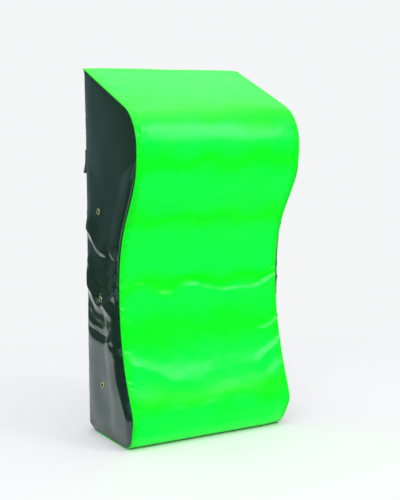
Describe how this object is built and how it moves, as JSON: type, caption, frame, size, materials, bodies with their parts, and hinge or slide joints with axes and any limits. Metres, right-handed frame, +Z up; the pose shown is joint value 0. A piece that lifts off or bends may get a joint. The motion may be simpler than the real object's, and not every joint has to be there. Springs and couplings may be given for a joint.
{
  "type": "rugby hit shield",
  "caption": "Tall curved tackle shield: a foam core in a glossy vinyl cover with a waisted front, side vents, a zipped back and arm straps across it.",
  "frame": {"origin": "middle of the flat base that the shield stands on", "axes": "+Z up the shield's height, X across its width, the impact face towards -Y and the strapped back towards +Y"},
  "size_m": [0.4508, 0.336, 0.9],
  "materials": {
    "green_vinyl": "gloss",
    "black_vinyl": "gloss",
    "firm_foam": "matte",
    "soft_foam": "matte",
    "webbing": "matte",
    "zip_tape": "matte",
    "zip_plastic": "satin",
    "zip_metal": "satin",
    "brass": "polished"
  },
  "bodies": {
    "shield": {"foam_rear_slab": "firm_foam", "foam_middle_block": "soft_foam", "foam_face_layer": "soft_foam", "front_panel": "green_vinyl", "left_gusset": "black_vinyl", "right_gusset": "black_vinyl", "back_panel_left": "black_vinyl", "back_panel_right": "black_vinyl", "zip_tape_left": "zip_tape", "zip_tape_right": "zip_tape", "zip_teeth_left": "zip_plastic", "zip_teeth_right": "zip_plastic", "zip_top_stop_left": "zip_metal", "zip_top_stop_right": "zip_metal", "zip_bottom_stop": "zip_metal", "upper_strap_end_left": "webbing", "upper_strap_end_right": "webbing", "lower_strap_end_left": "webbing", "lower_strap_end_right": "webbing", "vent_eyelet_left_low": "brass", "vent_eyelet_left_middle": "brass", "vent_eyelet_left_top": "brass", "vent_eyelet_right_low": "brass", "vent_eyelet_right_middle": "brass", "vent_eyelet_right_top": "brass", "vent_washer_left_low": "brass", "vent_washer_left_middle": "brass", "vent_washer_left_top": "brass", "vent_washer_right_low": "brass", "vent_washer_right_middle": "brass", "vent_washer_right_top": "brass"},
    "upper_strap": {"upper_arm_strap": "webbing"},
    "lower_strap": {"lower_arm_strap": "webbing"},
    "slider": {"zip_slider": "zip_metal"},
    "puller": {"zip_puller": "zip_metal"}
  },
  "joints": [
    {"name": "upper_strap_flop", "type": "hinge", "parent": "shield", "child": "upper_strap", "pos_m": [0, 0.11, 0.673], "axis": [1, 0, 0], "range_deg": [-35, 18], "stiffness_Nm_per_rad": 0.05},
    {"name": "lower_strap_flop", "type": "hinge", "parent": "shield", "child": "lower_strap", "pos_m": [0, 0.11, 0.528], "axis": [1, 0, 0], "range_deg": [-30, 20], "stiffness_Nm_per_rad": 0.05},
    {"name": "zip_slide", "type": "slide", "parent": "shield", "child": "slider", "axis": [0, 0, -1], "range_m": [0, 0.663]},
    {"name": "puller_hinge", "type": "hinge", "parent": "slider", "child": "puller", "pos_m": [0, 0.1142, 0.779], "axis": [1, 0, 0], "range_deg": [0, 175]}
  ]
}
